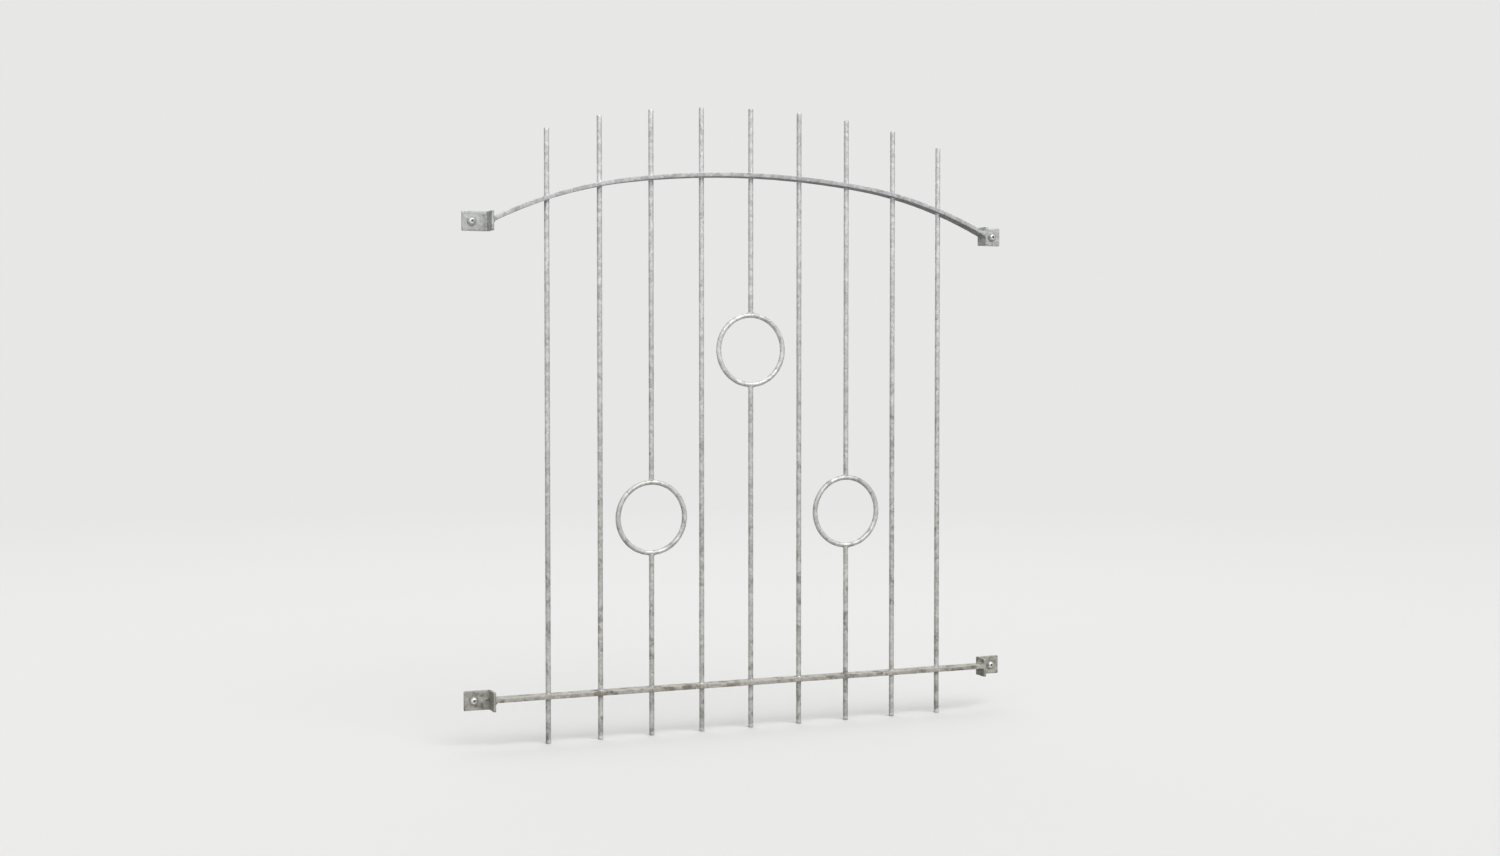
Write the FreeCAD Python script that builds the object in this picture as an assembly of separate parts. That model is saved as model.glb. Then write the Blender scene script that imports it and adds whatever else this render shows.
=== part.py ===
import FreeCAD, Part
import math
import os

# Galvanised steel window grille, in millimetres: upright round bars with rings let into some of
# them, held by an arched and a straight crossbar that end in wall brackets.
# The front faces -Y and +Z is up. The wall's surface is the plane Y = 0, and the origin lies
# in it, midway between the four anchors.

# Upright bars
bar_count = 9
bar_pitch = 107.0
bar_diameter = 10.0
bar_end_chamfer = 0.8
bar_overhang_top = 130.0        # above the upper face of the arched crossbar
bar_overhang_bottom = 88.0      # below the lower face of the straight crossbar

# Crossbars, of flat stock laid level, with a hole for each bar
crossbar_depth = 30.0
crossbar_thickness = 8.0
crossbar_edge_chamfer = 0.6     # along the rolled edges
crossbar_wall_gap = 10.0        # from the back edge to the wall
crossbar_end_run = 108.0        # from the axis of an outermost bar to the bracket
crossbar_lift = 2.5             # of its middle, above the bracket's middle
bar_hole_clearance = 0.3        # on the diameter

# Three-centred arch of the upper crossbar, along the middle of its thickness
arch_rise = 104.0               # from the ends to the crown
arch_crown_radius = 1870.0
arch_crown_half_width = 250.0   # where the crown's arc passes into the tighter ones

# Rings of round stock, seen along Y
ring_diameter = 140.0           # along the middle of the stock
ring_stock = 10.0
ring_seat_depth = 2.0           # how far the end of a bar is coped over the ring
centre_ring_height = 675.0      # above the middle of the straight crossbar
side_ring_height = 342.0
side_ring_bar_count = 2         # bars from the middle one to a side ring's

# Wall brackets, of flat stock bent to an L
bracket_rise = 922.0            # from the lower pair up to the upper pair
bracket_height = 38.0
bracket_thickness = 5.0
bracket_plate_length = 54.0     # from the face on the crossbar to the outer end
bracket_bend_radius = 2.0       # inside the bend
bracket_corner_radius = 2.0
bracket_edge_chamfer = 0.6
anchor_edge_distance = 19.0     # from the outer end of the plate to the hole
anchor_hole_diameter = 9.0

# Wall screws with a domed head, and their washers
screw_diameter = 8.0            # of the neck, in the bracket
screw_thread_diameter = 7.2     # at the middle of the thread's depth, in the wall
screw_length = 60.0             # under the head
screw_tip_length = 8.0
head_diameter = 14.0
head_rim = 0.6                  # straight edge below the dome
head_height = 4.4
head_face_diameter = 7.4        # flat of the dome's top
socket_across_flats = 5.0
socket_depth = 2.6
washer_diameter = 18.0
washer_hole_diameter = 8.4
washer_thickness = 1.6

# Places that follow from the sizes above
X_AXIS = FreeCAD.Vector(1, 0, 0)
Y_AXIS = FreeCAD.Vector(0, 1, 0)
Z_AXIS = FreeCAD.Vector(0, 0, 1)
HEXAGON = 6
middle_bar = (bar_count - 1) / 2
half_span = middle_bar * bar_pitch + crossbar_end_run
crossbar_back = -crossbar_wall_gap
crossbar_front = crossbar_back - crossbar_depth
bar_y = (crossbar_back + crossbar_front) / 2
upper_bracket_z = bracket_rise / 2
lower_bracket_z = -bracket_rise / 2
arch_end_z = upper_bracket_z + crossbar_lift
straight_z = lower_bracket_z + crossbar_lift
bar_bottom = straight_z - crossbar_thickness / 2 - bar_overhang_bottom
anchor_x = half_span + bracket_plate_length - anchor_edge_distance
ring_heights = {
    -side_ring_bar_count: straight_z + side_ring_height,
    0: straight_z + centre_ring_height,
    side_ring_bar_count: straight_z + side_ring_height,
}


class Arch:
    """Three-centred arch in the XZ plane: a wide arc at the crown, a tighter arc on each side."""

    def __init__(self):
        self.crown_centre = arch_end_z + arch_rise - arch_crown_radius
        self.sine = arch_crown_half_width / arch_crown_radius
        cosine = math.sqrt(1 - self.sine ** 2)
        joint_z = self.crown_centre + arch_crown_radius * cosine
        # The side arc starts tangent to the crown and passes through the middle of the crossbar's end.
        run = half_span - arch_crown_half_width
        fall = arch_end_z - joint_z
        self.side_radius = -(run ** 2 + fall ** 2) / (2 * (self.sine * run + cosine * fall))
        self.side_x = arch_crown_half_width - self.side_radius * self.sine
        self.side_z = joint_z - self.side_radius * cosine

    def joint_x(self, offset):
        """X at which the arcs meet, on a curve that lies offset outside the arch."""
        return (arch_crown_radius + offset) * self.sine

    def height(self, x, offset):
        """Z at x of the curve that lies offset outside the arch."""
        x = abs(x)
        if x <= self.joint_x(offset):
            return self.crown_centre + math.sqrt((arch_crown_radius + offset) ** 2 - x ** 2)
        return self.side_z + math.sqrt((self.side_radius + offset) ** 2 - (x - self.side_x) ** 2)

    def arcs(self, offset, reach):
        """The three arcs from -reach to reach, on the crossbar's front."""
        joint = self.joint_x(offset)
        stations = [-reach, -joint, joint, reach]
        edges = []
        for start, end in zip(stations, stations[1:]):
            points = []
            for x in (start, (start + end) / 2, end):
                points.append(FreeCAD.Vector(x, crossbar_front, self.height(x, offset)))
            edges.append(Part.Arc(*points).toShape())
        return edges


arch = Arch()


def bar_x(index):
    return (index - middle_bar) * bar_pitch


def break_rolled_edges(crossbar):
    """Chamfers a crossbar's long edges, and leaves those of its sawn ends sharp."""
    edges = []
    for edge in crossbar.Edges:
        if edge.BoundBox.XLength > crossbar_depth:
            edges.append(edge)
    return crossbar.makeChamfer(crossbar_edge_chamfer, edges)


def punch_bar_holes(crossbar, z_low, z_high):
    """Cuts a level crossbar's holes, one round each upright bar."""
    radius = (bar_diameter + bar_hole_clearance) / 2
    for index in range(bar_count):
        base = FreeCAD.Vector(bar_x(index), bar_y, z_low)
        crossbar = crossbar.cut(Part.makeCylinder(radius, z_high - z_low, base))
    return crossbar


def arched_crossbar():
    """The bent crossbar, sawn off upright at both brackets."""
    bent_reach = half_span + crossbar_thickness
    outer = arch.arcs(crossbar_thickness / 2, bent_reach)
    inner = arch.arcs(-crossbar_thickness / 2, bent_reach)
    left_end = Part.makeLine(inner[0].firstVertex().Point, outer[0].firstVertex().Point)
    right_end = Part.makeLine(inner[-1].lastVertex().Point, outer[-1].lastVertex().Point)
    outline = Part.Wire(Part.__sortEdges__(outer + inner + [left_end, right_end]))
    bar = break_rolled_edges(Part.Face(outline).extrude(Y_AXIS * crossbar_depth))
    low, high = bar.BoundBox.ZMin, bar.BoundBox.ZMax
    corner = FreeCAD.Vector(-half_span, crossbar_front, low)
    bar = bar.common(Part.makeBox(2 * half_span, crossbar_depth, high - low, corner))
    return punch_bar_holes(bar, low, high)


def straight_crossbar():
    low = straight_z - crossbar_thickness / 2
    corner = FreeCAD.Vector(-half_span, crossbar_front, low)
    bar = break_rolled_edges(Part.makeBox(2 * half_span, crossbar_depth, crossbar_thickness, corner))
    return punch_bar_holes(bar, low, low + crossbar_thickness)


def round_bar(x, z_low, z_high, free_ends):
    """An upright bar from z_low to z_high, chamfered at the ends that are listed as free."""
    base = FreeCAD.Vector(x, bar_y, z_low)
    bar = Part.makeCylinder(bar_diameter / 2, z_high - z_low, base)
    rims = []
    for edge in bar.Edges:
        flat = edge.BoundBox.ZLength < bar_end_chamfer
        if flat and min(abs(edge.CenterOfMass.z - end) for end in free_ends) < bar_end_chamfer:
            rims.append(edge)
    return bar.makeChamfer(bar_end_chamfer, rims)


def ring(x, z):
    centre = FreeCAD.Vector(x, bar_y, z)
    return Part.makeTorus(ring_diameter / 2, ring_stock / 2, centre, Y_AXIS)


def upright_pieces(index):
    """One bar in one length, or in two lengths coped to the ring between them."""
    x = bar_x(index)
    top = arch.height(x, crossbar_thickness / 2) + bar_overhang_top
    name = "upright_bar_%d" % (index + 1)
    column = index - middle_bar
    if column not in ring_heights:
        return {name: round_bar(x, bar_bottom, top, [bar_bottom, top])}
    ring_z = ring_heights[column]
    reach = (ring_diameter + ring_stock) / 2 - ring_seat_depth
    upper = round_bar(x, ring_z + reach, top, [top])
    lower = round_bar(x, bar_bottom, ring_z - reach, [bar_bottom])
    seat = ring(x, ring_z)
    return {name + "_upper": upper.cut(seat), name + "_lower": lower.cut(seat)}


def along(edge, axis):
    """Whether an edge is straight and parallel to an axis."""
    straight = edge.Curve.TypeId == "Part::GeomLine"
    return straight and edge.tangentAt(edge.FirstParameter).cross(axis).Length < Part.Precision.angular()


def rim_edges(bracket):
    """The plate's long edges. A chamfer follows each of its two rims from there all the way round."""
    edges = []
    for edge in bracket.Edges:
        if along(edge, X_AXIS) and edge.Length > bracket_thickness:
            edges.append(edge)
    return edges


def right_bracket(z):
    """The L of a right-hand bracket, its leg's face on the crossbar's end and its plate on the wall."""
    inner, outer = half_span, half_span + bracket_plate_length
    leg_outside = inner + bracket_thickness
    plate_front = -bracket_thickness
    low = z - bracket_height / 2

    def point(x, y):
        return FreeCAD.Vector(x, y, low)

    def bend(centre_x, centre_y, radius):
        """A quarter arc about the bend's axis, from the leg's side to the plate's side."""
        half = radius * math.sqrt(0.5)
        return Part.Arc(point(centre_x - radius, centre_y), point(centre_x - half, centre_y + half),
                        point(centre_x, centre_y + radius)).toShape()

    bend_x = leg_outside + bracket_bend_radius
    bend_y = plate_front - bracket_bend_radius
    inside_bend = bend(bend_x, bend_y, bracket_bend_radius)
    outside_bend = bend(bend_x, bend_y, bracket_bend_radius + bracket_thickness)
    edges = [
        inside_bend,
        outside_bend,
        Part.makeLine(point(inner, bend_y), point(inner, crossbar_front)),
        Part.makeLine(point(inner, crossbar_front), point(leg_outside, crossbar_front)),
        Part.makeLine(point(leg_outside, crossbar_front), point(leg_outside, bend_y)),
        Part.makeLine(point(bend_x, plate_front), point(outer, plate_front)),
        Part.makeLine(point(outer, plate_front), point(outer, 0)),
        Part.makeLine(point(outer, 0), point(bend_x, 0)),
    ]
    outline = Part.Wire(Part.__sortEdges__(edges))
    bracket = Part.Face(outline).extrude(Z_AXIS * bracket_height)

    corners = []
    for edge in bracket.Edges:
        on_plate_end = along(edge, Y_AXIS) and edge.CenterOfMass.x > anchor_x
        on_leg_tip = along(edge, X_AXIS) and edge.CenterOfMass.y < bar_y
        if on_plate_end or on_leg_tip:
            corners.append(edge)
    bracket = bracket.makeFillet(bracket_corner_radius, corners)
    bracket = bracket.makeChamfer(bracket_edge_chamfer, rim_edges(bracket))
    hole_base = FreeCAD.Vector(anchor_x, plate_front, z)
    return bracket.cut(Part.makeCylinder(anchor_hole_diameter / 2, bracket_thickness, hole_base, Y_AXIS))


def mirrored(shape):
    return shape.mirror(FreeCAD.Vector(0, 0, 0), X_AXIS)


def anchor_points():
    """Centres of the four plates' front faces at their holes."""
    points = []
    for z in (upper_bracket_z, lower_bracket_z):
        for x in (-anchor_x, anchor_x):
            points.append(FreeCAD.Vector(x, -bracket_thickness, z))
    return points


def washer(seat):
    outside = Part.makeCylinder(washer_diameter / 2, washer_thickness, seat, -Y_AXIS)
    return outside.cut(Part.makeCylinder(washer_hole_diameter / 2, washer_thickness, seat, -Y_AXIS))


def dome(base):
    """A screw's domed head on its base, turned about an axis along Y."""
    rim_radius, face_radius = head_diameter / 2, head_face_diameter / 2
    # The dome is part of a sphere about the axis, through the rim and the edge of the flat top.
    dome_height = head_height - head_rim
    to_centre = (rim_radius ** 2 - face_radius ** 2 - dome_height ** 2) / (2 * dome_height)
    centre_height = head_rim - to_centre
    sphere_radius = math.hypot(rim_radius, to_centre)
    middle_radius = (rim_radius + face_radius) / 2
    middle_height = centre_height + math.sqrt(sphere_radius ** 2 - middle_radius ** 2)

    def point(radius, height):
        return base + X_AXIS * radius - Y_AXIS * height

    outline = [
        Part.makeLine(point(0, 0), point(rim_radius, 0)),
        Part.makeLine(point(rim_radius, 0), point(rim_radius, head_rim)),
        Part.Arc(point(rim_radius, head_rim), point(middle_radius, middle_height),
                 point(face_radius, head_height)).toShape(),
        Part.makeLine(point(face_radius, head_height), point(0, head_height)),
        Part.makeLine(point(0, head_height), point(0, 0)),
    ]
    return Part.Face(Part.Wire(outline)).revolve(base, Y_AXIS)


def hexagon_socket(base):
    """The recess for a hexagon key, from the dome's flat top down."""
    corner_radius = socket_across_flats / math.sqrt(3)
    top = base - Y_AXIS * head_height
    corners = []
    for step in range(HEXAGON + 1):
        angle = math.tau * step / HEXAGON
        corners.append(top + X_AXIS * (corner_radius * math.cos(angle))
                       + Z_AXIS * (corner_radius * math.sin(angle)))
    return Part.Face(Part.makePolygon(corners)).extrude(Y_AXIS * socket_depth)


def screw(seat):
    """A screw whose head rests on the washer, its neck in the bracket and its thread in the wall."""
    under_head = seat - Y_AXIS * washer_thickness
    neck_length = washer_thickness + bracket_thickness
    thread_length = screw_length - neck_length - screw_tip_length
    thread_start = under_head + Y_AXIS * neck_length
    thread_radius = screw_thread_diameter / 2
    neck = Part.makeCylinder(screw_diameter / 2, neck_length, under_head, Y_AXIS)
    thread = Part.makeCylinder(thread_radius, thread_length, thread_start, Y_AXIS)
    tip = Part.makeCone(thread_radius, 0, screw_tip_length, thread_start + Y_AXIS * thread_length, Y_AXIS)
    head = dome(under_head).cut(hexagon_socket(under_head))
    return head.fuse([neck, thread, tip]).removeSplitter()


def grille_nodes():
    nodes = {}
    for index in range(bar_count):
        nodes.update(upright_pieces(index))
    for name, column in (("left", -side_ring_bar_count), ("centre", 0), ("right", side_ring_bar_count)):
        nodes["ring_" + name] = ring(column * bar_pitch, ring_heights[column])
    nodes["arched_crossbar"] = arched_crossbar()
    nodes["straight_crossbar"] = straight_crossbar()
    for level, z in (("upper", upper_bracket_z), ("lower", lower_bracket_z)):
        bracket = right_bracket(z)
        nodes["bracket_%s_right" % level] = bracket
        nodes["bracket_%s_left" % level] = mirrored(bracket)
    nodes["anchor_washers"] = Part.makeCompound([washer(seat) for seat in anchor_points()])
    nodes["anchor_screws"] = Part.makeCompound([screw(seat) for seat in anchor_points()])
    return nodes


os.makedirs("parts", exist_ok=True)
for node_name, node_shape in grille_nodes().items():
    node_shape.exportStep("parts/%s.step" % node_name)
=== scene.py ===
import math

import bmesh
import bpy
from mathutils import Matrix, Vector, noise


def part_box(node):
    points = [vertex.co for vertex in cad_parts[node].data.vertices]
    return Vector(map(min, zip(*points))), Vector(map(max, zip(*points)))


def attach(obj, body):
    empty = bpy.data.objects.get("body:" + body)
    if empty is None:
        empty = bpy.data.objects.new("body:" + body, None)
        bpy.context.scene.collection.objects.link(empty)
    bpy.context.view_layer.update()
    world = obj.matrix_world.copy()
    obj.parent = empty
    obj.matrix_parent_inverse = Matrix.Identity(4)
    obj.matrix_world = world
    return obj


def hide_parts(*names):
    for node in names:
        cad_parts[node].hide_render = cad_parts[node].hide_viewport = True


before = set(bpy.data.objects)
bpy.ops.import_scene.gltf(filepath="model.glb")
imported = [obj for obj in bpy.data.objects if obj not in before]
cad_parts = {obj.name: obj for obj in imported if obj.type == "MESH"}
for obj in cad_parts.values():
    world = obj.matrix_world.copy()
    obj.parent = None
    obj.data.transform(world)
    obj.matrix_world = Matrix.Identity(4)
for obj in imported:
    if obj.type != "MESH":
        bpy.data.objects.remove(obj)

# A hot-dip galvanised window grille on a pale floor. Lengths are in metres, the front faces -Y
# and +Z is up. Places come from the frame's solids, and the sizes below add their finish.

MM = 0.001
BODY = "root"

# Shapes of the solids that their boxes don't give
ARCH_CROWN_RADIUS = 1870 * MM
ARCH_CROWN_HALF_WIDTH = 250 * MM
BAR_HOLE_CLEARANCE = 0.15 * MM      # on the radius
BRACKET_THICKNESS = 5 * MM
BRACKET_BEND_RADIUS = 2 * MM
BRACKET_CORNER_RADIUS = 2 * MM
ANCHOR_HOLE_RADIUS = 4.5 * MM
WASHER_RADIUS = 9 * MM
WASHER_HOLE_RADIUS = 4.2 * MM
WASHER_THICKNESS = 1.6 * MM
HEAD_RADIUS = 7 * MM
HEAD_RIM = 0.6 * MM
HEAD_HEIGHT = 4.4 * MM
HEAD_FACE_RADIUS = 3.7 * MM
SOCKET_ACROSS_FLATS = 5 * MM
SOCKET_DEPTH = 2.6 * MM
NECK_RADIUS = 4 * MM
TIP_LENGTH = 8 * MM

# Finish of the metal
EDGE_ROUND = 0.8 * MM               # of the flat stock's rolled edges
HOLE_ROUND = 0.3 * MM
BAR_END_ROUND = 0.9 * MM
SCREW_EDGE = 0.2 * MM
SOCKET_CONE = 0.3 * MM              # drill point in the floor of a screw's socket
THREAD_PITCH = 3.4 * MM
THREAD_CREST_RADIUS = 4 * MM
THREAD_ROOT_RADIUS = 3.2 * MM
THREAD_STEEPNESS = 3                # of a ridge's flanks, which take up two thirds of the pitch
SCREW_TURN = 0.7                    # from one screw to the next, in radians
COLLAR_SIZE = 0.9 * MM              # zinc round a bar where it leaves a crossbar
COLLAR_HEIGHT = 1.1 * MM
COLLAR_ROOT = 0.3 * MM              # how deep the collar starts in the hole
COLLAR_REACH = 3 * COLLAR_HEIGHT    # where it has faded out
DRIP_SIZE = 0.25 * MM               # zinc that gathered near a bar's lower end
DRIP_HEIGHT = 2.5 * MM
DRIP_REACH = 4 * DRIP_HEIGHT
SEAT_REACH = 4                      # bar radii along which a bar's rows are drawn to its ring
COAT_WAVE = 0.20 * MM               # unevenness of the zinc coat
COAT_WAVES_PER_METRE = 70
COAT_GRAIN = 0.05 * MM
COAT_GRAINS_PER_METRE = 330
RING_WELD_LEG = 2.2 * MM
RING_WELD_REACH = 0.9               # share of the ring's stock that the bead covers, front to back
RING_WELD_ROOT = 0.75               # where the bead's root lies, as a share of the bar's radius
RING_WELD_SINK = 0.08               # how deep its foot lies in the ring, as a share of the stock's radius
BRACKET_WELD_LEG = 3.4 * MM
BRACKET_WELD_END = 0.2 * MM         # what is left of the bead's taper at its ends
BRACKET_WELD_ROOT = 0.25            # how deep the bead's root lies, as a share of its leg
WELD_BULGE = 0.14                   # of the bead's face, as a share of its leg
WELD_UNEVENNESS = 0.22
WELD_LUMPS_PER_METRE = 140
WELD_RIPPLE = 2.4 * MM              # from one ripple of a bead to the next
WELD_RIPPLE_DEPTH = 0.025

# Look of the zinc. Tones are the stops of a ramp, each a position and a factor.
SHADE_AND_DULL_FROM_Z = 0.50                  # painted shade darkens the zinc from here down, and its dull patches grow
SHADE_AND_DULL_TO_Z = -0.20
CLOUDS_PER_METRE = 14
CLOUD_TONES = ((0.3, 0.93), (0.7, 1.06))
PATCH_GAIN = 0.06                   # what the foot adds to the noise that makes the dull patches
PATCH_SHARE_TOP = 0.5               # strength of the patches at the top, and 1 at the foot
CRYSTALS_PER_METRE = 130
CRYSTAL_TONES = ((0.0, 0.81), (1.0, 1.15))
CRYSTAL_RELIEF = 0.5                # how far the crystals stand out beside the grain
SMALL_CRYSTALS_PER_METRE = 300
SMALL_CRYSTAL_TONES = ((0.0, 0.90), (1.0, 1.08))
RAGS_PER_METRE = 300                # of the crystals' ragged edges
RAG_DEPTH = 4 * MM
# Pale flecks: worn zinc with painted glints
WORN_GLINTS_PER_METRE = 120
WORN_GLINT_RANGE = (0.58, 0.68)          # of the noise that makes the pale flecks of worn zinc with painted glints
WORN_GLINT_SHARE = 0.4
WORN_GLINT_COLOUR = (0.74, 0.74, 0.73)
SPECKS_PER_METRE = 210
SPECK_RANGE = (0.39, 0.31)
SPECK_SHARE = 0.8
SPECK_COLOUR = (0.5, 0.49, 0.47)
TIP_LIGHT_AND_SHADE_BAND = 40 * MM                  # reach of the painted shade above a bar's lower end, whose tip has a painted highlight
TIP_LIGHT_AND_SHADE_TONES = ((0.14, 1.2), (0.22, 0.86), (0.60, 0.92), (1.0, 1.0))
GRAINS_PER_METRE = 800
GRAIN_DEPTH = 0.3 * MM
GRAIN_STRENGTH = 0.3
DULL_ROUGHNESS = 0.18               # what a dull patch adds to the roughness
SHEEN_LEVEL = 0.06
SHEEN_TINT = (0.5, 0.5, 0.5, 1)
PLATING_CLOUDS_PER_METRE = 260
PLATING_DARK_AT = 0.3               # of the noise that makes the plating's clouds
PLATING_LIGHT_AT = 0.65
PLATING_ROUGHNESS = ((0.3, 0.46), (0.7, 0.34))
PLATING_METAL = 0.85
PLATING_GRAINS_PER_METRE = 1500
PLATING_GRAIN_STRENGTH = 0.1
PLATING_GRAIN_DEPTH = 0.2 * MM

# Fineness of the meshes
BAR_SIDES = 24
BAR_STEP = 4 * MM
COLLAR_STEP = 0.4 * MM
DRIP_STEP = DRIP_HEIGHT / 4
RING_STEPS = 220
PLATE_STEP = 4 * MM
BEND_STEPS = 8
ROUND_STEPS = 3
BEAD_STEPS = 4
RIPPLE_STEPS = 6
HOLE_STEPS = 36
SCREW_SIDES = 36
THREAD_STEPS = 10
DOME_STEP = 0.4 * MM
CUT_MERGE = 0.05 * MM               # a cut this close to a point passes through it
SMOOTH_ANGLE = math.radians(40)

# The photograph's view
IMAGE_WIDTH = 1500
FOCAL_PIXELS = 1880
SENSOR_WIDTH = 36
CAMERA_PLACE = Vector((-1.488, -3.530, 0.1755))
CAMERA_YAW = math.radians(22.98)    # from +Y towards +X
CAMERA_PITCH = math.radians(-1.76)

# The stage
PALE = (0.80, 0.80, 0.795)          # the background as it is seen
FLOOR_PALE = (0.69, 0.69, 0.685)
FLOOR_BOUNCE = (0.08, 0.08, 0.08)   # the floor as it lights the grille from below
SKY_LOW = 0.14                      # strength of the light from all round at the horizon
SKY_HIGH = 0.58                     # and from overhead
FLOOR_RADIUS = 40
FLOOR_SIDES = 128
FLOOR_GAP = 0.3 * MM                # under the bars' lower ends
FLOOR_ROUGHNESS = 0.9
FLOOR_FADE_START = 2.0
FLOOR_FADE_END = 6.0

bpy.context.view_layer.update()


# Places read from the frame

def middle(node):
    low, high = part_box(node)
    return (low + high) / 2


def nodes_named(start):
    return sorted(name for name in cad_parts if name.startswith(start))


straight_low, straight_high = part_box("straight_crossbar")
half_span = straight_high.x
crossbar_front = straight_low.y
crossbar_back = straight_high.y
crossbar_thickness = straight_high.z - straight_low.z
straight_z = (straight_low.z + straight_high.z) / 2
lower_bracket_z = middle("bracket_lower_right").z
upper_bracket_z = middle("bracket_upper_right").z
arch_end_z = upper_bracket_z + straight_z - lower_bracket_z
crown_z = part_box("arched_crossbar")[1].z - crossbar_thickness / 2

bar_low, bar_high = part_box("upright_bar_1")
bar_radius = (bar_high.x - bar_low.x) / 2
bar_y = (bar_high.y + bar_low.y) / 2
bar_bottom = bar_low.z
bar_nodes = nodes_named("upright_bar_")
bar_places = sorted({round(middle(name).x, 6) for name in bar_nodes})

ring_nodes = nodes_named("ring_")
ring_centres = [middle(name) for name in ring_nodes]
ring_low, ring_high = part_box("ring_centre")
ring_stock = (ring_high.y - ring_low.y) / 2
ring_radius = (ring_high.x - ring_low.x) / 2 - ring_stock

anchor_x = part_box("anchor_washers")[1].x - WASHER_RADIUS
anchor_places = [(x, z) for z in (upper_bracket_z, lower_bracket_z) for x in (-anchor_x, anchor_x)]
screw_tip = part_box("anchor_screws")[1].y
under_head = -BRACKET_THICKNESS - WASHER_THICKNESS


class Arch:
    """Three-centred arch along the middle of the upper crossbar's thickness."""

    def __init__(self):
        self.crown_centre = crown_z - ARCH_CROWN_RADIUS
        self.sine = ARCH_CROWN_HALF_WIDTH / ARCH_CROWN_RADIUS
        cosine = math.sqrt(1 - self.sine ** 2)
        joint_z = self.crown_centre + ARCH_CROWN_RADIUS * cosine
        run = half_span - ARCH_CROWN_HALF_WIDTH
        fall = arch_end_z - joint_z
        self.side_radius = -(run ** 2 + fall ** 2) / (2 * (self.sine * run + cosine * fall))
        self.side_x = ARCH_CROWN_HALF_WIDTH - self.side_radius * self.sine
        self.side_z = joint_z - self.side_radius * cosine

    def height(self, x, offset):
        """Z at x of the curve that lies offset outside the arch."""
        x = abs(x)
        if x <= (ARCH_CROWN_RADIUS + offset) * self.sine:
            return self.crown_centre + math.sqrt((ARCH_CROWN_RADIUS + offset) ** 2 - x ** 2)
        return self.side_z + math.sqrt((self.side_radius + offset) ** 2 - (x - self.side_x) ** 2)


arch = Arch()


def straight_height(x, offset):
    """Z of the straight crossbar's stock, offset above its middle, the same at every x."""
    return straight_z + offset


def crossbar_faces(x):
    """Z of both faces of each crossbar at x, with the way out of it: down or up."""
    faces = []
    for height in (straight_height, arch.height):
        for side in (-1, 1):
            faces.append((height(x, side * crossbar_thickness / 2), side))
    return faces


# Mesh tools

def zinc_lump(point):
    """How far the zinc coat stands out at a point: slow waves with a finer grain on them."""
    wave = noise.noise(point * COAT_WAVES_PER_METRE)
    grain = noise.noise(point * COAT_GRAINS_PER_METRE)
    return COAT_WAVE * wave + COAT_GRAIN * grain


def circle(count):
    return [math.tau * step / count for step in range(count)]


def spread(start, end, step):
    """Evenly spaced values from start to end, both included."""
    count = max(1, round(abs(end - start) / step))
    return [start + (end - start) * i / count for i in range(count + 1)]


def quarter_turns():
    return [math.pi / 2 * step / ROUND_STEPS for step in range(ROUND_STEPS + 1)]


def centre_of(points):
    return sum(points, Vector()) / len(points)


def loft(bm, rows, closed=False, start=None, end=None):
    """Skins rows of points, each a closed loop. A closed skin joins the last row to the first one,
    and an open one is capped at the points start and end."""
    loops = [[bm.verts.new(point) for point in row] for row in rows]
    pairs = list(zip(loops, loops[1:]))
    if closed:
        pairs.append((loops[-1], loops[0]))
    for here, there in pairs:
        for i in range(len(here)):
            bm.faces.new((here[i - 1], here[i], there[i], there[i - 1]))
    for loop, tip in ((loops[0], start), (loops[-1], end)):
        if tip is not None:
            centre = bm.verts.new(tip)
            for i in range(len(loop)):
                bm.faces.new((loop[i - 1], loop[i], centre))


def add_piece(name, bm, materials, nodes=(), coat=True):
    """Makes a piece of a mesh, with the zinc's unevenness on it, that stands for its nodes."""
    bmesh.ops.recalc_face_normals(bm, faces=bm.faces)
    bm.normal_update()
    if coat:
        for vert in bm.verts:
            vert.co += vert.normal * zinc_lump(vert.co)
    mesh = bpy.data.meshes.new(name)
    bm.to_mesh(mesh)
    bm.free()
    mesh.shade_smooth()
    mesh.set_sharp_from_angle(angle=SMOOTH_ANGLE)
    for material in materials:
        mesh.materials.append(material)
    piece = bpy.data.objects.new(name, mesh)
    bpy.context.collection.objects.link(piece)
    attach(piece, BODY)
    if nodes:
        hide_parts(*nodes)


# Plates: flat stock with rounded edges, drawn as a plan and laid along a bend

def plan(outline, holes, u_cuts, v_cuts):
    """A plan's flat mesh, from an outline and round holes, cut by lines across and along it."""
    bm = bmesh.new()
    loops = [outline]
    for u, v, radius in holes:
        rim = radius + HOLE_ROUND
        loops.append([(u + rim * math.cos(a), v + rim * math.sin(a)) for a in circle(HOLE_STEPS)])
    edges = []
    for loop in loops:
        verts = [bm.verts.new((u, v, 0)) for u, v in loop]
        for i in range(len(verts)):
            edges.append(bm.edges.new((verts[i - 1], verts[i])))
    bmesh.ops.triangle_fill(bm, edges=edges, use_beauty=True)
    cuts = [((u, 0, 0), (1, 0, 0)) for u in u_cuts] + [((0, v, 0), (0, 1, 0)) for v in v_cuts]
    for place, normal in cuts:
        geometry = bm.verts[:] + bm.edges[:] + bm.faces[:]
        bmesh.ops.bisect_plane(bm, geom=geometry, dist=CUT_MERGE, plane_co=place, plane_no=normal)
    return bm


def rim_normal(vert):
    """The way out of a plan at a vertex of its rim, lengthened so that square corners stay square."""
    normals = []
    for edge in vert.link_edges:
        if edge.is_boundary:
            along = edge.verts[1].co - edge.verts[0].co
            out = Vector((along.y, -along.x, 0)).normalized()
            inward = edge.link_faces[0].calc_center_median() - edge.verts[0].co
            normals.append(-out if out.dot(inward) > 0 else out)
    return (normals[0] + normals[1]) / (1 + normals[0].dot(normals[1]))


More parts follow.
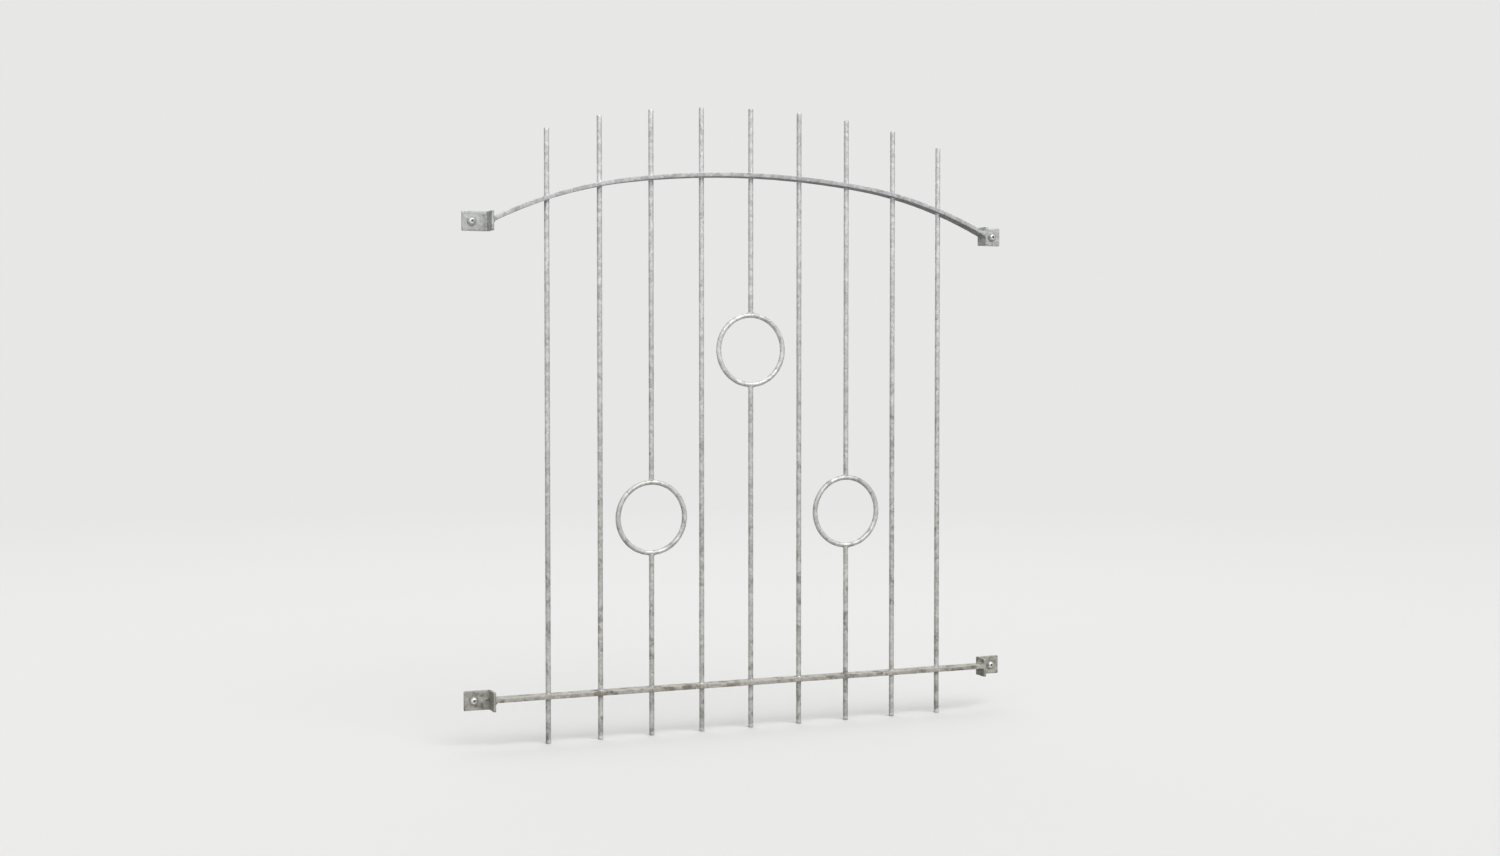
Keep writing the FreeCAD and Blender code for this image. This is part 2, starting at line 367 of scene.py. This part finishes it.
def rim_profile(edge, thickness):
    """Offsets and heights down a plate's rounded rim, from the upper face to the lower one."""
    turns = quarter_turns()[1:]
    rounded = [(edge * math.sin(turn), edge * (1 - math.cos(turn))) for turn in turns]
    steps = [(offset, thickness - drop) for offset, drop in rounded]
    steps += [(edge, w) for w in spread(thickness - edge, edge, PLATE_STEP / 2)[1:-1]]
    return steps + rounded[::-1]


def plate(flat, thickness, holes, place):
    """A solid from a plan whose outline lies EDGE_ROUND inside the plate's rim, and whose holes lie
    HOLE_ROUND outside their sides. place gives the point of the frame for a point u, v of the plan at
    a height w in the thickness."""
    bm = bmesh.new()
    outer_rim = rim_profile(EDGE_ROUND, thickness)
    hole_rim = rim_profile(HOLE_ROUND, thickness)
    columns = {}
    for vert in flat.verts:
        u, v = vert.co.xy
        rows = [(u, v, thickness)]
        if vert.is_boundary:
            out = rim_normal(vert)
            on_hole = any(math.hypot(u - hole_u, v - hole_v) < radius + EDGE_ROUND
                          for hole_u, hole_v, radius in holes)
            for offset, w in hole_rim if on_hole else outer_rim:
                rows.append((u + out.x * offset, v + out.y * offset, w))
        rows.append((u, v, 0))
        columns[vert] = [bm.verts.new(place(*row)) for row in rows]
    for face in flat.faces:
        bm.faces.new([columns[vert][0] for vert in face.verts])
        bm.faces.new([columns[vert][-1] for vert in reversed(face.verts)])
    for rim in flat.edges:
        if rim.is_boundary:
            first, second = (columns[vert] for vert in rim.verts)
            for i in range(len(first) - 1):
                bm.faces.new((first[i], second[i], second[i + 1], first[i + 1]))
    flat.free()
    bmesh.ops.triangulate(bm, faces=[face for face in bm.faces if len(face.verts) > 4])
    return bm


def rounded_rectangle(u_low, u_high, v_low, v_high, radius):
    points = []
    centres = [(u_high - radius, v_high - radius), (u_low + radius, v_high - radius),
               (u_low + radius, v_low + radius), (u_high - radius, v_low + radius)]
    for quarter, (u, v) in enumerate(centres):
        for turn in quarter_turns():
            angle = math.pi / 2 * quarter + turn
            points.append((u + radius * math.cos(angle), v + radius * math.sin(angle)))
    return points


def crossbar_mesh(height):
    """A crossbar's solid. height gives the Z of its stock at x, at an offset from the middle."""
    front, back = crossbar_front + EDGE_ROUND, crossbar_back - EDGE_ROUND
    reach = half_span - EDGE_ROUND
    outline = [(-reach, front), (reach, front), (reach, back), (-reach, back)]
    holes = [(x, bar_y, bar_radius + BAR_HOLE_CLEARANCE) for x in bar_places]
    x_cuts = spread(-reach, reach, PLATE_STEP)[1:-1]
    y_cuts = spread(front, back, PLATE_STEP)[1:-1]

    def place(x, y, w):
        return x, y, height(x, w - crossbar_thickness / 2)

    return plate(plan(outline, holes, x_cuts, y_cuts), crossbar_thickness, holes, place)


def bracket_mesh(node):
    """An L-shaped bracket's solid: a leg back from the crossbar's end, a bend and a plate."""
    low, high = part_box(node)
    side = 1 if low.x > 0 else -1
    outer_end = max(abs(low.x), abs(high.x))
    outer_radius = BRACKET_THICKNESS + BRACKET_BEND_RADIUS
    bend_x, bend_y = half_span + outer_radius, -outer_radius
    leg = bend_y - low.y
    bend = math.pi / 2 * (BRACKET_BEND_RADIUS + BRACKET_THICKNESS / 2)
    bend_end = leg + bend
    length = bend_end + outer_end - bend_x
    z_middle = (low.z + high.z) / 2

    def place(u, v, w):
        if u < leg:
            x, y = half_span + w, low.y + u
        elif u < bend_end:
            angle = (u - leg) / bend * math.pi / 2
            x = bend_x - (outer_radius - w) * math.cos(angle)
            y = bend_y + (outer_radius - w) * math.sin(angle)
        else:
            x, y = bend_x + u - bend_end, -w
        return side * x, y, z_middle + v

    top = (high.z - low.z) / 2 - EDGE_ROUND
    corner = BRACKET_CORNER_RADIUS - EDGE_ROUND
    outline = rounded_rectangle(EDGE_ROUND, length - EDGE_ROUND, -top, top, corner)
    holes = [(bend_end + anchor_x - bend_x, 0, ANCHOR_HOLE_RADIUS)]
    u_cuts = spread(0, leg, PLATE_STEP)[1:] + spread(leg, bend_end, bend / BEND_STEPS)[1:]
    u_cuts += spread(bend_end, length, PLATE_STEP)[1:-1]
    v_cuts = spread(-top, top, PLATE_STEP)[1:-1]
    return plate(plan(outline, holes, u_cuts, v_cuts), BRACKET_THICKNESS, holes, place)


# Upright bars and rings

def ring_crest(dx, dy):
    """Height of a ring's outside above its centre, dx and dy from the axis of the bar on it."""
    crest = math.sqrt(max(ring_stock ** 2 - dy ** 2, 0))
    return math.sqrt((ring_radius + crest) ** 2 - dx ** 2)


def swelling(point):
    """How far the zinc swells a bar: at the crossbars' faces, and where it ran to the lower end."""
    size = DRIP_SIZE * math.exp(-((point.z - bar_bottom) / DRIP_HEIGHT - 1) ** 2)
    for face_z, side in crossbar_faces(point.x):
        gap = (point.z - face_z) * side
        if gap > -COLLAR_ROOT:
            size += COLLAR_SIZE * math.exp(-(max(gap, 0) / COLLAR_HEIGHT) ** 2)
    return size


def bar_levels(x, low, high):
    """Z of the rows along a bar, closer together at its lower end and where it passes the crossbars."""
    levels = spread(low, high, BAR_STEP)
    drip_top = bar_bottom + DRIP_REACH
    if low < drip_top:
        levels = [z for z in levels if z > drip_top] + spread(low, drip_top, DRIP_STEP)
    reach = COLLAR_REACH + bar_radius
    for face_z, _ in crossbar_faces(x):
        if low + reach < face_z < high - reach:
            levels = [z for z in levels if abs(z - face_z) > reach]
            levels += spread(face_z - reach, face_z + reach, COLLAR_STEP)
    return sorted(levels)


def free_end(end_z, way):
    """Rows of a bar's rounded free end, from its rim to its side: Z and radius.
    way leads along the bar."""
    rows = []
    for turn in quarter_turns()[:-1]:
        rise = BAR_END_ROUND * (1 - math.cos(turn))
        rows.append((end_z + way * rise, bar_radius - BAR_END_ROUND * (1 - math.sin(turn))))
    return rows


def side_of_ring(node):
    """Where a bar stands on its ring: 1 is above, -1 is below and 0 is a bar without a ring."""
    if node.endswith("_upper"):
        return 1
    return -1 if node.endswith("_lower") else 0


def bar_piece(node, material):
    """A bar with rounded free ends. An end on a ring follows the ring's outside."""
    low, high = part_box(node)
    x = (low.x + high.x) / 2
    ring_side = side_of_ring(node)
    rows = [(z, bar_radius) for z in bar_levels(x, low.z + BAR_END_ROUND, high.z - BAR_END_ROUND)]
    rows = ([(low.z, bar_radius)] if ring_side > 0 else free_end(low.z, 1)) + rows
    rows += [(high.z, bar_radius)] if ring_side < 0 else free_end(high.z, -1)[::-1]

    if ring_side != 0:
        seat_z = low.z if ring_side > 0 else high.z
        ring_z = min(ring_centres, key=lambda centre: abs(centre.x - x)).z

    def level(z, dx, dy):
        """Z of a point at dx, dy from the bar's axis, drawn towards the ring near a seated end."""
        if ring_side == 0:
            return z
        share = max(0, 1 - abs(z - seat_z) / (SEAT_REACH * bar_radius))
        rise = max(0, ring_crest(dx, dy) - abs(seat_z - ring_z))
        return z + ring_side * rise * share

    points = []
    for z, radius in rows:
        row = []
        for angle in circle(BAR_SIDES):
            dx, dy = radius * math.cos(angle), radius * math.sin(angle)
            point = Vector((x + dx, bar_y + dy, level(z, dx, dy)))
            swell = 1 + swelling(point) / bar_radius
            row.append(Vector((x + dx * swell, bar_y + dy * swell, point.z)))
        points.append(row)
    bm = bmesh.new()
    loft(bm, points, start=(x, bar_y, level(low.z, 0, 0)), end=(x, bar_y, level(high.z, 0, 0)))
    add_piece(node + "_zinc", bm, [material], [node])


def ring_piece(node, material):
    centre = middle(node)
    rows = []
    for turn in circle(RING_STEPS):
        out = Vector((math.cos(turn), 0, math.sin(turn)))
        row = []
        for angle in circle(BAR_SIDES):
            offset = out * (ring_stock * math.cos(angle)) + Vector((0, ring_stock * math.sin(angle), 0))
            row.append(centre + out * ring_radius + offset)
        rows.append(row)
    bm = bmesh.new()
    loft(bm, rows, closed=True)
    add_piece(node + "_zinc", bm, [material], [node])


# Welds

def bead_row(first, second, bulge, root):
    """A section of a bead: its foot on each of two pieces, a rounded face between, a root inside them."""
    row = [first]
    for step in range(1, BEAD_STEPS):
        share = step / BEAD_STEPS
        row.append(first.lerp(second, share) + bulge * math.sin(math.pi * share))
    return row + [second, root]


def weld_lump(point):
    return 1 + WELD_UNEVENNESS * noise.noise(point * WELD_LUMPS_PER_METRE)


def ring_weld(name, ring_centre, side, material):
    """The fillet between a ring and the end of a bar, above the ring or below it."""
    axis = Vector((ring_centre.x, bar_y, ring_centre.z))
    rows = []
    for angle in circle(2 * BAR_SIDES):
        across, depth = math.cos(angle), math.sin(angle)
        foot_x = (bar_radius + RING_WELD_LEG * across ** 2) * across
        foot_y = RING_WELD_REACH * ring_stock * depth
        bar_x = bar_radius * across
        on_ring = axis + Vector((foot_x, foot_y, side * ring_crest(foot_x, foot_y)))
        leg = RING_WELD_LEG * weld_lump(on_ring)
        on_bar = axis + Vector((bar_x, bar_radius * depth, side * (ring_crest(bar_x, foot_y) + leg)))
        root = axis + Vector((bar_x, bar_radius * depth, 0)) * RING_WELD_ROOT
        root.z = on_ring.z
        bulge = Vector((across, depth, side)) * (WELD_BULGE * leg)
        to_ring = Vector((foot_x, 0, on_ring.z - axis.z)).normalized()
        foot = on_ring.lerp(axis + to_ring * ring_radius, RING_WELD_SINK)
        rows.append(bead_row(on_bar, foot, bulge, root))
    bm = bmesh.new()
    loft(bm, rows, closed=True)
    add_piece(name, bm, [material])


def bracket_weld(name, side, height, material):
    """The two beads across a crossbar's end on its bracket, one above the stock and one below it.
    height gives the Z of the stock at x, at an offset from the middle."""
    bm = bmesh.new()
    for face in (-1, 1):
        offset = face * crossbar_thickness / 2
        corner_z = height(half_span, offset)
        fall = height(half_span - BRACKET_WELD_LEG, offset) - corner_z
        along_bar = Vector((-side * BRACKET_WELD_LEG, 0, fall)).normalized()
        up_bracket = Vector((0, 0, face))
        rows = []
        for y in spread(crossbar_front, crossbar_back, WELD_RIPPLE / RIPPLE_STEPS):
            corner = Vector((side * half_span, y, corner_z))
            to_end = min(y - crossbar_front, crossbar_back - y) + BRACKET_WELD_END
            taper = math.sqrt(min(1, to_end / BRACKET_WELD_LEG))
            ripple = 1 + WELD_RIPPLE_DEPTH * math.sin(math.tau * y / WELD_RIPPLE)
            leg = BRACKET_WELD_LEG * taper * ripple * weld_lump(corner)
            out = up_bracket + along_bar
            rows.append(bead_row(corner + up_bracket * leg, corner + along_bar * leg,
                                 out * (WELD_BULGE * leg), corner - out * (BRACKET_WELD_ROOT * leg)))
        loft(bm, rows, start=centre_of(rows[0]), end=centre_of(rows[-1]))
    add_piece(name, bm, [material])


# Screws and washers

def washer_rows(x, z):
    section = rounded_rectangle(WASHER_HOLE_RADIUS, WASHER_RADIUS, under_head, -BRACKET_THICKNESS,
                                HOLE_ROUND)
    rows = []
    for angle in circle(2 * SCREW_SIDES):
        rows.append([Vector((x + r * math.cos(angle), y, z + r * math.sin(angle))) for r, y in section])
    return rows


def socket_radius(angle):
    """Distance from the axis to a hexagon socket's side."""
    sixth = math.tau / 6
    return SOCKET_ACROSS_FLATS / 2 / math.cos(angle % sixth - sixth / 2)


def in_socket(point):
    """Whether a point on a screw lies in the socket of its head."""
    to_axis = min(math.hypot(point.x - x, point.z - z) for x, z in anchor_places)
    return point.y < under_head and to_axis < SOCKET_ACROSS_FLATS / math.sqrt(3)


def head_profile():
    """Rows of the domed head from its flat top out to its rim, then in to the neck: radius and Y."""
    dome = HEAD_HEIGHT - HEAD_RIM
    to_centre = (HEAD_RADIUS ** 2 - HEAD_FACE_RADIUS ** 2 - dome ** 2) / (2 * dome)
    sphere = math.hypot(HEAD_RADIUS, to_centre)
    rows = [(HEAD_FACE_RADIUS - SCREW_EDGE, under_head - HEAD_HEIGHT)]
    for radius in spread(HEAD_FACE_RADIUS, HEAD_RADIUS, DOME_STEP):
        rise = HEAD_RIM - to_centre + math.sqrt(sphere ** 2 - radius ** 2)
        rows.append((radius, under_head - rise))
    rows += [(HEAD_RADIUS, under_head - SCREW_EDGE), (HEAD_RADIUS - SCREW_EDGE, under_head)]
    return rows + [(NECK_RADIUS, under_head), (NECK_RADIUS, -SCREW_EDGE)]


def thread_radius(y, angle):
    """The screw's radius behind the bracket, where its thread starts, runs and tapers off."""
    turn = (y / THREAD_PITCH - angle / math.tau) % 1
    ridge = max(0, 1 - abs(turn - 0.5) * THREAD_STEEPNESS) * min(1, y / THREAD_PITCH)
    taper = min(1, (screw_tip - y) / TIP_LENGTH)
    return (THREAD_ROOT_RADIUS + (THREAD_CREST_RADIUS - THREAD_ROOT_RADIUS) * ridge) * taper


def add_screw(bm, x, z, turned):
    """A screw, from the floor of its socket, over the head and down to its tip."""
    top = under_head - HEAD_HEIGHT
    floor = top + SOCKET_DEPTH
    angles = circle(SCREW_SIDES)
    shape = [[(socket_radius(a), y) for a in angles] for y in (floor, top + SCREW_EDGE)]
    shape.append([(socket_radius(a) + SCREW_EDGE, top) for a in angles])
    shape += [[row] * SCREW_SIDES for row in head_profile()]
    for y in spread(0, screw_tip, THREAD_PITCH / THREAD_STEPS)[:-1]:
        shape.append([(thread_radius(y, a), y) for a in angles])
    rows = []
    for ring in shape:
        row = []
        for (radius, y), a in zip(ring, angles):
            row.append(Vector((x + radius * math.cos(a + turned), y, z + radius * math.sin(a + turned))))
        rows.append(row)
    loft(bm, rows, start=(x, floor + SOCKET_CONE, z), end=(x, screw_tip, z))


# Materials

class Shader:
    """A material's nodes, added one by one round its surface shader."""

    def __init__(self, name):
        self.material = bpy.data.materials.new(name)
        self.material.use_nodes = True
        self.tree = self.material.node_tree
        self.surface = self.tree.nodes["Principled BSDF"]
        self.object_place = self.tree.nodes.new("ShaderNodeTexCoord").outputs["Object"]

    def put(self, socket, value):
        """Links a node's output to a socket, or sets the socket's own value."""
        if isinstance(value, bpy.types.NodeSocket):
            self.tree.links.new(value, socket)
        else:
            socket.default_value = value

    def add(self, kind, inputs, **settings):
        node = self.tree.nodes.new(kind)
        for key, value in settings.items():
            setattr(node, key, value)
        for key, value in inputs.items():
            self.put(node.inputs[key], value)
        return node

    def set(self, **values):
        for key, value in values.items():
            self.put(self.surface.inputs[key.replace("_", " ")], value)

    def noise(self, per_metre, detail=3.0, roughness=0.5):
        values = {"Vector": self.object_place, "Scale": per_metre, "Detail": detail,
                  "Roughness": roughness}
        return self.add("ShaderNodeTexNoise", values).outputs["Fac"]

    def ragged_place(self, per_metre, push):
        """Places pushed about by a noise, so that a pattern laid on them gets ragged edges."""
        values = {"Vector": self.object_place, "Scale": per_metre, "Detail": 3.0}
        colour = self.add("ShaderNodeTexNoise", values).outputs["Color"]
        values = {0: colour, 1: (push, push, push), 2: self.object_place}
        return self.add("ShaderNodeVectorMath", values, operation="MULTIPLY_ADD").outputs["Vector"]

    def cells(self, place, per_metre):
        """One value from 0 to 1 for each cell of a pattern of crystals."""
        cells = self.add("ShaderNodeTexVoronoi", {"Vector": place, "Scale": per_metre})
        return self.add("ShaderNodeSeparateColor", {"Color": cells.outputs["Color"]}).outputs["Red"]

    def height(self):
        return self.add("ShaderNodeSeparateXYZ", {"Vector": self.object_place}).outputs["Z"]

    def ramp(self, value, *stops):
        """A colour ramp of stops, each a position with a grey or a colour."""
        node = self.add("ShaderNodeValToRGB", {"Fac": value})
        elements = node.color_ramp.elements
        while len(elements) < len(stops):
            elements.new(1)
        for element, (position, colour) in zip(elements, stops):
            element.position = position
            element.color = (*colour, 1) if isinstance(colour, tuple) else (colour, colour, colour, 1)
        return node.outputs["Color"]

    def range(self, value, low, high):
        """0 where a value is at low, 1 where it is at high."""
        values = {"Value": value, "From Min": low, "From Max": high}
        return self.add("ShaderNodeMapRange", values).outputs["Result"]

    def math(self, operation, *values):
        return self.add("ShaderNodeMath", dict(enumerate(values)), operation=operation).outputs[0]

    def bump(self, relief, strength, depth):
        values = {"Height": relief, "Strength": strength, "Distance": depth}
        return self.add("ShaderNodeBump", values).outputs["Normal"]

    def mix(self, blend, share, first, second):
        """Blends two colours, each an output or a constant colour."""
        inputs = {0: share}
        for index, colour in ((6, first), (7, second)):
            inputs[index] = (*colour, 1) if isinstance(colour, tuple) else colour
        return self.add("ShaderNodeMix", inputs, data_type="RGBA", blend_type=blend).outputs[2]


def galvanised(name, top, foot, patch, patches_per_metre, patch_range, metal, rough):
    """Zinc: light grey with painted shade that darkens it towards the grille's foot, with darker patches,
    crystals, and pale flecks of worn zinc with painted glints.
    metal is the share that shines as bare metal, and rough the roughness outside the patches."""
    shader = Shader(name)
    height = shader.height()
    # Painted shade: the colour darkens from top to foot; the same lowness makes the dull patches grow
    lowness = shader.range(height, SHADE_AND_DULL_FROM_Z, SHADE_AND_DULL_TO_Z)
    colour = shader.mix("MIX", lowness, top, foot)
    cloud = shader.ramp(shader.noise(CLOUDS_PER_METRE, detail=2.0), *CLOUD_TONES)
    colour = shader.mix("MULTIPLY", 1.0, colour, cloud)

    # Patches where the coat is dull, more of them towards the foot
    patches = shader.noise(patches_per_metre, detail=5.0, roughness=0.6)
    raised = shader.math("MULTIPLY_ADD", lowness, PATCH_GAIN, patches)
    dull = shader.range(raised, *patch_range)
    strength = shader.math("MULTIPLY_ADD", lowness, 1 - PATCH_SHARE_TOP, PATCH_SHARE_TOP)
    dull = shader.math("MULTIPLY", dull, strength)
    colour = shader.mix("MULTIPLY", dull, colour, patch)

    # Crystals of the zinc in two sizes, pale flecks of worn zinc with painted glints, and dark specks
    ragged = shader.ragged_place(RAGS_PER_METRE, RAG_DEPTH)
    crystal = shader.cells(ragged, CRYSTALS_PER_METRE)
    colour = shader.mix("MULTIPLY", 1.0, colour, shader.ramp(crystal, *CRYSTAL_TONES))
    small_crystal = shader.cells(ragged, SMALL_CRYSTALS_PER_METRE)
    colour = shader.mix("MULTIPLY", 1.0, colour, shader.ramp(small_crystal, *SMALL_CRYSTAL_TONES))
    worn_glints = shader.range(shader.noise(WORN_GLINTS_PER_METRE, detail=4.0, roughness=0.6), *WORN_GLINT_RANGE)
    colour = shader.mix("MIX", shader.math("MULTIPLY", worn_glints, WORN_GLINT_SHARE), colour, WORN_GLINT_COLOUR)
    specks = shader.range(shader.noise(SPECKS_PER_METRE, detail=4.0, roughness=0.6), *SPECK_RANGE)
    colour = shader.mix("MULTIPLY", shader.math("MULTIPLY", specks, SPECK_SHARE), colour, SPECK_COLOUR)

    # Painted shade in a darker band above each bar's lower end, and a painted highlight that lightens its
    # tip
    above_tip = shader.range(height, bar_bottom, bar_bottom + TIP_LIGHT_AND_SHADE_BAND)
    colour = shader.mix("MULTIPLY", 1.0, colour, shader.ramp(above_tip, *TIP_LIGHT_AND_SHADE_TONES))

    grain = shader.noise(GRAINS_PER_METRE, roughness=0.6)
    relief = shader.math("MULTIPLY_ADD", crystal, CRYSTAL_RELIEF, grain)
    normal = shader.bump(relief, GRAIN_STRENGTH, GRAIN_DEPTH)
    roughness = shader.ramp(dull, (0.0, rough), (1.0, rough + DULL_ROUGHNESS))
    shader.set(Base_Color=colour, Roughness=roughness, Normal=normal, Metallic=metal,
               Specular_IOR_Level=SHEEN_LEVEL, Specular_Tint=SHEEN_TINT)
    return shader.material


def plated(name, dark, light):
    """Thin plating of screws and washers, with faint cloudy marks."""
    shader = Shader(name)
    cloud = shader.noise(PLATING_CLOUDS_PER_METRE, roughness=0.6)
    colour = shader.ramp(cloud, (PLATING_DARK_AT, dark), (PLATING_LIGHT_AT, light))
    rough = shader.ramp(cloud, *PLATING_ROUGHNESS)
    grain = shader.noise(PLATING_GRAINS_PER_METRE)
    normal = shader.bump(grain, PLATING_GRAIN_STRENGTH, PLATING_GRAIN_DEPTH)
    shader.set(Base_Color=colour, Roughness=rough, Normal=normal, Metallic=PLATING_METAL)
    return shader.material


# The grille

def add_bars_and_rings(bar_zinc, ring_zinc):
    for node in bar_nodes:
        bar_piece(node, bar_zinc)
    for node in ring_nodes:
        ring_piece(node, ring_zinc)
        for word, side in (("top", 1), ("bottom", -1)):
            ring_weld("weld_%s_%s" % (node, word), middle(node), side, ring_zinc)


def add_crossbar(node, height, zinc):
    add_piece(node + "_zinc", crossbar_mesh(height), [zinc], [node])
    for word, side in (("left", -1), ("right", 1)):
        bracket_weld("weld_%s_%s" % (node, word), side, height, zinc)


def add_brackets(zinc):
    for node in nodes_named("bracket_"):
        add_piece(node + "_zinc", bracket_mesh(node), [zinc], [node])


def add_anchors():
    screw_zinc = plated("bright_zinc", dark=(0.56, 0.56, 0.55), light=(0.74, 0.74, 0.73))
    # Painted shade, with some dirt, that darkens the recess of each head's socket
    socket_shade_and_dirt = plated("socket_shade_and_dirt", dark=(0.10, 0.10, 0.10), light=(0.20, 0.20, 0.195))
    washer_zinc = plated("washer_zinc", dark=(0.20, 0.20, 0.195), light=(0.31, 0.31, 0.305))
    washers, screws = bmesh.new(), bmesh.new()
    for index, (x, z) in enumerate(anchor_places):
        loft(washers, washer_rows(x, z), closed=True)
        add_screw(screws, x, z, index * SCREW_TURN)
    for face in screws.faces:
        face.material_index = 1 if in_socket(face.calc_center_median()) else 0
    add_piece("washers_zinc", washers, [washer_zinc], ["anchor_washers"], coat=False)
    add_piece("screws_zinc", screws, [screw_zinc, socket_shade_and_dirt], ["anchor_screws"], coat=False)


def add_grille():
    # top and foot are each zinc's colours at the top and at the foot; the darkening between them is
    # painted shade
    bar_zinc = galvanised(
        "galvanised_bar", top=(0.60, 0.60, 0.60), foot=(0.51, 0.505, 0.485), patch=(0.60, 0.59, 0.575),
        patches_per_metre=60, patch_range=(0.58, 0.67), metal=0.45, rough=0.40)
    ring_zinc = galvanised(
        "galvanised_ring", top=(0.63, 0.63, 0.63), foot=(0.55, 0.545, 0.525), patch=(0.66, 0.65, 0.635),
        patches_per_metre=60, patch_range=(0.59, 0.68), metal=0.45, rough=0.40)
    flat_zinc = galvanised(
        "galvanised_flat", top=(0.515, 0.52, 0.525), foot=(0.41, 0.397, 0.355), patch=(0.62, 0.59, 0.555),
        patches_per_metre=40, patch_range=(0.60, 0.66), metal=0.12, rough=0.55)
    bracket_zinc = galvanised(
        "galvanised_bracket", top=(0.50, 0.51, 0.50), foot=(0.385, 0.38, 0.343), patch=(0.62, 0.60, 0.57),
        patches_per_metre=70, patch_range=(0.58, 0.66), metal=0.25, rough=0.46)
    add_bars_and_rings(bar_zinc, ring_zinc)
    add_crossbar("arched_crossbar", arch.height, flat_zinc)
    add_crossbar("straight_crossbar", straight_height, flat_zinc)
    add_brackets(bracket_zinc)
    add_anchors()


# Floor, light and camera

def seen_ray(tree):
    """1 for a ray that shows a surface as it is: from the camera, mirrored or let through."""
    path = tree.nodes.new("ShaderNodeLightPath")
    value = path.outputs["Is Camera Ray"]
    for name in ("Is Glossy Ray", "Is Transmission Ray"):
        either = tree.nodes.new("ShaderNodeMath")
        either.operation = "MAXIMUM"
        tree.links.new(value, either.inputs[0])
        tree.links.new(path.outputs[name], either.inputs[1])
        value = either.outputs[0]
    return value


def pale_world():
    """Soft light from all round, seen as a plain pale background."""
    world = bpy.data.worlds.new("pale_world")
    world.use_nodes = True
    tree = world.node_tree
    tree.nodes.clear()
    direction = tree.nodes.new("ShaderNodeTexCoord")
    axes = tree.nodes.new("ShaderNodeSeparateXYZ")
    sky = tree.nodes.new("ShaderNodeMapRange")
    sky.inputs["To Min"].default_value = SKY_LOW
    sky.inputs["To Max"].default_value = SKY_HIGH
    light = tree.nodes.new("ShaderNodeBackground")
    light.inputs["Color"].default_value = (1, 1, 1, 1)
    tree.links.new(direction.outputs["Generated"], axes.inputs["Vector"])
    tree.links.new(axes.outputs["Z"], sky.inputs["Value"])
    tree.links.new(sky.outputs["Result"], light.inputs["Strength"])
    pale = tree.nodes.new("ShaderNodeBackground")
    pale.inputs["Color"].default_value = (*PALE, 1)
    mix = tree.nodes.new("ShaderNodeMixShader")
    output = tree.nodes.new("ShaderNodeOutputWorld")
    tree.links.new(seen_ray(tree), mix.inputs[0])
    tree.links.new(light.outputs[0], mix.inputs[1])
    tree.links.new(pale.outputs[0], mix.inputs[2])
    tree.links.new(mix.outputs[0], output.inputs["Surface"])
    bpy.context.scene.world = world


def pale_floor():
    """A round floor that passes into the background's colour far from the grille."""
    bm = bmesh.new()
    bmesh.ops.create_circle(bm, cap_ends=True, segments=FLOOR_SIDES, radius=FLOOR_RADIUS)
    mesh = bpy.data.meshes.new("floor")
    bm.to_mesh(mesh)
    bm.free()
    floor = bpy.data.objects.new("floor", mesh)
    floor.location.z = bar_bottom - FLOOR_GAP
    bpy.context.collection.objects.link(floor)
    shader = Shader("floor")
    seen = seen_ray(shader.tree)
    shader.set(Base_Color=shader.mix("MIX", seen, FLOOR_BOUNCE, FLOOR_PALE), Roughness=FLOOR_ROUGHNESS)
    distance = shader.add("ShaderNodeVectorMath", {0: shader.object_place}, operation="LENGTH")
    far = shader.range(distance.outputs["Value"], FLOOR_FADE_START, FLOOR_FADE_END)
    shown = shader.math("MULTIPLY", far, seen)
    glow = shader.add("ShaderNodeEmission", {"Color": (*PALE, 1), "Strength": 1.0})
    mix = shader.add("ShaderNodeMixShader", {0: shown, 1: shader.surface.outputs[0], 2: glow.outputs[0]})
    shader.put(shader.tree.nodes["Material Output"].inputs["Surface"], mix.outputs[0])
    mesh.materials.append(shader.material)


def soft_light(name, azimuth, elevation, softness, strength):
    """Even light from a wide, far softbox. Azimuth is from the front towards +X; angles in degrees."""
    light = bpy.data.lights.new(name, "SUN")
    light.angle = math.radians(softness)
    light.energy = strength
    lamp = bpy.data.objects.new(name, light)
    lamp.rotation_euler = (math.radians(90 - elevation), 0, math.radians(azimuth))
    bpy.context.collection.objects.link(lamp)


def photo_camera():
    data = bpy.data.cameras.new("camera")
    data.sensor_width = SENSOR_WIDTH
    data.lens = FOCAL_PIXELS * SENSOR_WIDTH / IMAGE_WIDTH
    camera = bpy.data.objects.new("camera", data)
    camera.location = CAMERA_PLACE
    camera.rotation_euler = (math.pi / 2 + CAMERA_PITCH, 0, -CAMERA_YAW)
    bpy.context.collection.objects.link(camera)
    bpy.context.scene.camera = camera


add_grille()
pale_world()
pale_floor()
soft_light("key", azimuth=14, elevation=42, softness=62, strength=2.4)
soft_light("fill", azimuth=-50, elevation=15, softness=60, strength=0.7)
soft_light("back", azimuth=165, elevation=35, softness=60, strength=0.9)
photo_camera()
bpy.context.scene.view_settings.view_transform = "Standard"
